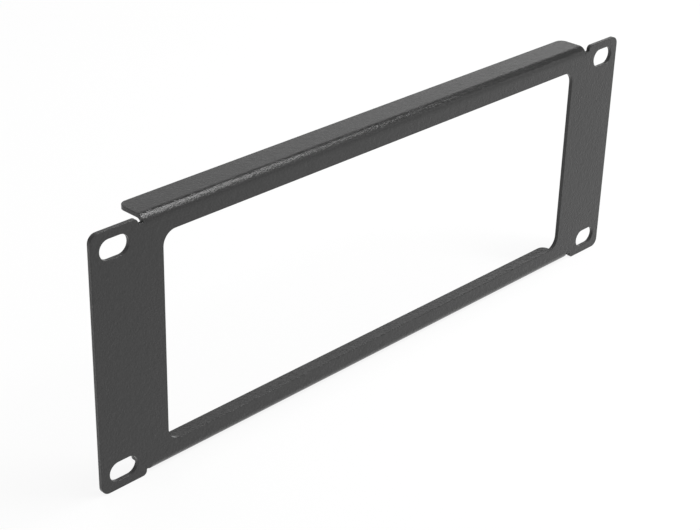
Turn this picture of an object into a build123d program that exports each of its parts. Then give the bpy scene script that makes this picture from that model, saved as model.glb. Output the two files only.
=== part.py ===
import os
from math import hypot

from build123d import *

# A 10 inch, 2 unit rack panel: one folded steel sheet with two mounting ears, a flange folded
# rearwards along its top and its bottom edge, and one large opening.
# X runs along the width, +Y into the rack and Z up. The origin is on the rear face of the ears,
# in the middle of the four mounting slots.

# Sheet
sheet_thickness = 1.5
bend_inner_radius = 1.8
outer_edge_radius = 0.15
inner_edge_chamfer = 0.1

# Mounting slots
slot_pitch_x = 236.525
slot_pitch_z = 76.2
slot_length = 11.0
slot_width = 6.8

# Ears, measured from the middle of a slot
slot_to_side_edge = 8.7375
slot_to_top_edge = 6.35
ear_corner_radius = 3.0

# Flanges
flange_end_to_slot = 5.5125
flange_depth = 12.2
flange_corner_radius = 3.0

# Opening
opening_to_flange_end = 7.25
opening_to_top_edge = 7.7
opening_corner_radius = 4.8

# Relief notches between the flanges and the ears. Each one ends part of the way up the bend, and
# has a rounded shoulder on the ear's side, a short straight wall and a small corner at its floor
relief_width = 2.0
ear_shoulder_radius = 1.6
relief_wall = 0.15
relief_corner_radius = 0.3

# Sizes and places worked out from the ones above
panel_width = slot_pitch_x + 2 * slot_to_side_edge
panel_height = slot_pitch_z + 2 * slot_to_top_edge
flange_length = slot_pitch_x - slot_length - 2 * flange_end_to_slot
opening_width = flange_length - 2 * opening_to_flange_end
opening_height = panel_height - 2 * opening_to_top_edge
front_y = -sheet_thickness
flange_rear_y = front_y + flange_depth
top_z = panel_height / 2
bend_outer_radius = bend_inner_radius + sheet_thickness
bend_middle_radius = bend_inner_radius + sheet_thickness / 2
bend_centre_y = front_y + bend_outer_radius
bend_centre_z = top_z - bend_outer_radius
middle_y = front_y + sheet_thickness / 2
middle_z = top_z - sheet_thickness / 2
relief_x = (flange_length + relief_width) / 2
relief_depth = ear_shoulder_radius + relief_wall + relief_corner_radius
relief_floor_z = top_z - relief_depth

# How close two lengths are to count as the same one
same_place = 0.001

def is_bend_line(edge):
    return edge.length > flange_length - flange_corner_radius

def distance_to_bend_centre(edge):
    middle = edge @ 0.5
    return hypot(max(bend_centre_y - middle.Y, 0), max(abs(middle.Z) - bend_centre_z, 0))

def is_outer_cut_edge(edge):
    return not is_bend_line(edge) and abs(distance_to_bend_centre(edge) - bend_outer_radius) < same_place

def is_inner_cut_edge(edge):
    return not is_bend_line(edge) and abs(distance_to_bend_centre(edge) - bend_inner_radius) < same_place

def is_relief_corner(vertex):
    return abs(vertex.X) > relief_x and abs(abs(vertex.Y) - relief_floor_z) < same_place

def is_ear_shoulder(vertex):
    return abs(vertex.X) < relief_x + relief_width and abs(abs(vertex.Y) - top_z) < same_place

def is_on_ear(edge):
    return abs((edge @ 0.5).X) > flange_length / 2 + same_place

def is_cutout_edge(edge):
    middle_x = abs((edge @ 0.5).X)
    middle_z = abs((edge @ 0.5).Z)
    from_slot_x = abs(middle_x - slot_pitch_x / 2)
    from_slot_z = abs(middle_z - slot_pitch_z / 2)
    in_opening = middle_x < (opening_width + same_place) / 2 and middle_z < (opening_height + same_place) / 2
    in_slot = from_slot_x < (slot_length + same_place) / 2 and from_slot_z < (slot_width + same_place) / 2
    return in_opening or in_slot

# The channel: the sheet's middle line across both bends, thickened to the sheet
with BuildPart() as channel:
    with BuildSketch(Plane.YZ):
        with BuildLine():
            FilletPolyline(
                (flange_rear_y, middle_z),
                (middle_y, middle_z),
                (middle_y, -middle_z),
                (flange_rear_y, -middle_z),
                radius=bend_middle_radius,
            )
        trace(line_width=sheet_thickness)
    extrude(amount=flange_length / 2, both=True)
    fillet(channel.edges().filter_by(Axis.Z).group_by(Axis.Y)[-1], flange_corner_radius)
    fillet(channel.edges().filter_by(is_outer_cut_edge), outer_edge_radius)
    chamfer(channel.edges().filter_by(is_inner_cut_edge), inner_edge_chamfer)

# The flat plate with the ears, cut away where the bends are
with BuildPart() as plate:
    with BuildSketch(Plane.XZ) as outline:
        Rectangle(panel_width, panel_height)
        fillet(outline.vertices(), ear_corner_radius)
        with GridLocations(0, panel_height, 1, 2):
            Rectangle(flange_length, 2 * bend_outer_radius, mode=Mode.SUBTRACT)
        with GridLocations(2 * relief_x, panel_height, 2, 2):
            Rectangle(relief_width, 2 * relief_depth, mode=Mode.SUBTRACT)
        fillet(outline.vertices().filter_by(is_relief_corner), relief_corner_radius)
        fillet(outline.vertices().filter_by(is_ear_shoulder), ear_shoulder_radius)
    extrude(amount=sheet_thickness)
    fillet(plate.edges().filter_by(is_on_ear).group_by(Axis.Y)[0], outer_edge_radius)
    chamfer(plate.edges().filter_by(is_on_ear).group_by(Axis.Y)[-1], inner_edge_chamfer)

with BuildPart() as rack_panel:
    add(channel.part)
    add(plate.part)

    # The opening and the four slots
    with BuildSketch(Plane.XZ):
        RectangleRounded(opening_width, opening_height, opening_corner_radius)
        with GridLocations(slot_pitch_x, slot_pitch_z, 2, 2):
            SlotOverall(slot_length, slot_width)
    extrude(amount=sheet_thickness, mode=Mode.SUBTRACT)
    fillet(rack_panel.edges().filter_by(is_cutout_edge).group_by(Axis.Y)[0], outer_edge_radius)
    chamfer(rack_panel.edges().filter_by(is_cutout_edge).group_by(Axis.Y)[-1], inner_edge_chamfer)

rack_panel.part.label = "rack_panel"

os.makedirs("parts", exist_ok=True)
export_step(rack_panel.part, "parts/rack_panel.step")
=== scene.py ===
import math

import bpy
from mathutils import Matrix, Vector


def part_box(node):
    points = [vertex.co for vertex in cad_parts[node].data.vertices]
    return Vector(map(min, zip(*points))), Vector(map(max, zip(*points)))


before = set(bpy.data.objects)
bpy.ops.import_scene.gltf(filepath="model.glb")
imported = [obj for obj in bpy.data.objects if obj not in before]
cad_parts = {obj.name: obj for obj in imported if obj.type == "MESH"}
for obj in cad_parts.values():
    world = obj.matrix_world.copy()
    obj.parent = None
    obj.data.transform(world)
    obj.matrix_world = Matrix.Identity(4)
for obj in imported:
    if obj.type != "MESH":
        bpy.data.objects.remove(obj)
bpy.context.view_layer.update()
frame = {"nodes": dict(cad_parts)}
panel = frame["nodes"]["rack_panel"]
print("frame loaded:", ", ".join(frame["nodes"]))


# Places and sizes are in metres, as the frame is. Z is up and the panel's front looks to -Y

# Camera: in front of the left ear and above it, held with a slight roll
camera = {
    "place": (-0.38087, -0.33897, 0.25131),
    "target": (-0.02065, -0.00300, -0.00140),
    "roll": math.radians(1.6845),
    "lens": 84.78,  # mm
    "sensor": 36.0,  # mm
}

def addCamera():
    place = Vector(camera["place"])
    aim = (Vector(camera["target"]) - place).to_track_quat("-Z", "Y").to_matrix().to_4x4()
    roll = Matrix.Rotation(camera["roll"], 4, "Z")
    bpy.ops.object.camera_add()
    cameraObject = bpy.context.object
    cameraObject.name = "camera"
    cameraObject.matrix_world = Matrix.Translation(place) @ aim @ roll
    cameraObject.data.lens = camera["lens"]
    cameraObject.data.sensor_width = camera["sensor"]
    bpy.context.scene.camera = cameraObject

addCamera()
print("camera placed")


# Node helpers for the coat, the floor and the world. A link is a node and its output, then a node
# and its input
def linkNodes(tree, *links):
    for fromNode, fromSocket, toNode, toSocket in links:
        tree.links.new(fromNode.outputs[fromSocket], toNode.inputs[toSocket])

def addMaterial(name):
    material = bpy.data.materials.new(name)
    material.use_nodes = True
    return material

def addNoise(nodes, scale, detail, roughness):
    noise = nodes.new("ShaderNodeTexNoise")
    noise.inputs["Scale"].default_value = scale
    noise.inputs["Detail"].default_value = detail
    noise.inputs["Roughness"].default_value = roughness
    return noise

def addBump(nodes, height):
    bump = nodes.new("ShaderNodeBump")
    bump.inputs["Distance"].default_value = height
    return bump

def addRange(nodes, span, atStart, atEnd):
    spanNode = nodes.new("ShaderNodeMapRange")
    spanNode.inputs["From Min"].default_value, spanNode.inputs["From Max"].default_value = span
    spanNode.inputs["To Min"].default_value = atStart
    spanNode.inputs["To Max"].default_value = atEnd
    return spanNode

# Joins two or more outputs, each given as its node and name, and returns the result the same way
def joinOutputs(tree, operation, result, *others):
    for other in others:
        node = tree.nodes.new("ShaderNodeMath")
        node.operation = operation
        linkNodes(tree, (*result, node, 0), (*other, node, 1))
        result = (node, "Value")
    return result


# Powder coat: near black and satin. A fine even grain sets its colour and bump, a slower wave adds
# bump, and wide clouds change its gloss. Each noise is its scale, detail and roughness
powderCoat = {
    "color": (0.0245, 0.0245, 0.0245, 1.0),
    "paleColor": (0.0345, 0.0345, 0.0345, 1.0),
    "specular": 0.35,
    "roughness": (0.20, 0.24),
    "grain": (1600.0, 2.0, 0.5),
    "grainHeight": 0.00014,
    "wave": (480.0, 3.0, 0.55),
    "waveHeight": 0.0001,
    "cloud": (30.0, 2.0, 0.5),
    "cloudSpan": (0.3, 0.7),
}

# The Mix node's number and colour sockets share their names, so the colour ones are picked by place
mixColorA, mixColorB, mixColorResult = 6, 7, 2

def makePowderCoat():
    material = addMaterial("powderCoat")
    tree = material.node_tree
    nodes = tree.nodes
    shader = nodes["Principled BSDF"]
    shader.inputs["Specular IOR Level"].default_value = powderCoat["specular"]
    place = nodes.new("ShaderNodeTexCoord")
    grain = addNoise(nodes, *powderCoat["grain"])
    wave = addNoise(nodes, *powderCoat["wave"])
    cloud = addNoise(nodes, *powderCoat["cloud"])
    color = nodes.new("ShaderNodeMix")
    color.data_type = "RGBA"
    color.inputs[mixColorA].default_value = powderCoat["color"]
    color.inputs[mixColorB].default_value = powderCoat["paleColor"]
    gloss = addRange(nodes, powderCoat["cloudSpan"], *powderCoat["roughness"])
    waveBump = addBump(nodes, powderCoat["waveHeight"])
    grainBump = addBump(nodes, powderCoat["grainHeight"])
    linkNodes(
        tree,
        (place, "Object", grain, "Vector"),
        (place, "Object", wave, "Vector"),
        (place, "Object", cloud, "Vector"),
        (grain, "Fac", color, "Factor"),
        (color, mixColorResult, shader, "Base Color"),
        (cloud, "Fac", gloss, "Value"),
        (gloss, "Result", shader, "Roughness"),
        (wave, "Fac", waveBump, "Height"),
        (grain, "Fac", grainBump, "Height"),
        (waveBump, "Normal", grainBump, "Normal"),
        (grainBump, "Normal", shader, "Normal"),
    )
    return material

coat = makePowderCoat()
for slot in panel.material_slots:
    slot.material = coat
print("powder coat on the panel")


# Floor: one wide pale sheet at the height of the panel's lower edge. Part of its white comes from
# itself where the camera or a reflection sees it, so the lamp stays low and the shadow stays soft
floor = {
    "size": 6.0,
    "color": (0.95, 0.95, 0.95, 1.0),
    "roughness": 0.9,
    "specular": 0.0,
    "ownWhite": 0.88,
}

def makeFloorPaper():
    material = addMaterial("floorPaper")
    tree = material.node_tree
    nodes = tree.nodes
    shader = nodes["Principled BSDF"]
    shader.inputs["Base Color"].default_value = floor["color"]
    shader.inputs["Roughness"].default_value = floor["roughness"]
    shader.inputs["Specular IOR Level"].default_value = floor["specular"]
    white = nodes.new("ShaderNodeEmission")
    path = nodes.new("ShaderNodeLightPath")
    seen = joinOutputs(
        tree,
        "MAXIMUM",
        (path, "Is Camera Ray"),
        (path, "Is Glossy Ray"),
        (path, "Is Transmission Ray"),
    )
    share = nodes.new("ShaderNodeMath")
    share.operation = "MULTIPLY"
    share.inputs[1].default_value = floor["ownWhite"]
    paper = nodes.new("ShaderNodeMixShader")
    linkNodes(
        tree,
        (*seen, share, 0),
        (share, "Value", paper, 0),
        (shader, "BSDF", paper, 1),
        (white, "Emission", paper, 2),
        (paper, "Shader", nodes["Material Output"], "Surface"),
    )
    return material

def makeFloor():
    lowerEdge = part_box("rack_panel")[0].z
    bpy.ops.object.select_all(action="DESELECT")
    bpy.ops.mesh.primitive_plane_add(size=floor["size"], location=(0.0, 0.0, lowerEdge))
    floorObject = bpy.context.object
    floorObject.name = "floor"
    bpy.ops.object.transform_apply(location=True, rotation=True, scale=True)
    floorObject.data.materials.append(makeFloorPaper())

makeFloor()
print("floor laid")


# World: pale at the sides, brighter high up at the right and dim above that, where the rise and the
# fall are measured along upwards. The camera sees it white all over. Reflections see it white in a
# low band, which fades out between the two heights of backdropTop
world = {
    "color": (1.0, 1.0, 1.0, 1.0),
    "sideStrength": 0.58,
    "highStrength": 1.75,
    "overheadShare": 0.03,
    "upwards": (0.86, 0.0, 1.0),
    "rise": (0.93, 1.055),
    "fall": (1.11, 1.065),
    "backdropTop": (0.10, 0.26),  # 0 is the horizon and 1 is straight up
}

def makeWorld():
    studio = bpy.data.worlds.new("studio")
    bpy.context.scene.world = studio
    studio.use_nodes = True
    tree = studio.node_tree
    nodes = tree.nodes
    background = nodes["Background"]
    background.inputs["Color"].default_value = world["color"]
    place = nodes.new("ShaderNodeTexCoord")
    along = nodes.new("ShaderNodeVectorMath")
    along.operation = "DOT_PRODUCT"
    along.inputs[1].default_value = world["upwards"]
    rise = addRange(nodes, world["rise"], world["sideStrength"], world["highStrength"])
    fall = addRange(nodes, world["fall"], world["overheadShare"], 1.0)
    direction = nodes.new("ShaderNodeSeparateXYZ")
    backdrop = addRange(nodes, world["backdropTop"], 1.0, 0.0)
    linkNodes(
        tree,
        (place, "Generated", along, 0),
        (along, "Value", rise, "Value"),
        (along, "Value", fall, "Value"),
        (place, "Generated", direction, "Vector"),
        (direction, "Z", backdrop, "Value"),
    )
    path = nodes.new("ShaderNodeLightPath")
    light = joinOutputs(tree, "MULTIPLY", (rise, "Result"), (fall, "Result"))
    reflected = joinOutputs(tree, "MULTIPLY", (path, "Is Glossy Ray"), (backdrop, "Result"))
    strength = joinOutputs(
        tree,
        "MAXIMUM",
        (path, "Is Camera Ray"),
        (path, "Is Transmission Ray"),
        reflected,
        light,
    )
    linkNodes(tree, (*strength, background, "Strength"))

makeWorld()
print("world made")


# Lamp: a long soft box above the panel's right end, which makes the streak on the bend
strip = {
    "place": (0.43, -0.29, 0.86),
    "size": (0.20, 0.74),
    "power": 8.6,  # watts
}

def addStrip():
    bpy.ops.object.light_add(type="AREA", location=strip["place"])
    lampObject = bpy.context.object
    lampObject.name = "strip"
    lampObject.data.shape = "RECTANGLE"
    lampObject.data.size, lampObject.data.size_y = strip["size"]
    lampObject.data.energy = strip["power"]

addStrip()
bpy.context.scene.view_settings.view_transform = "Standard"
print("lamp lit")
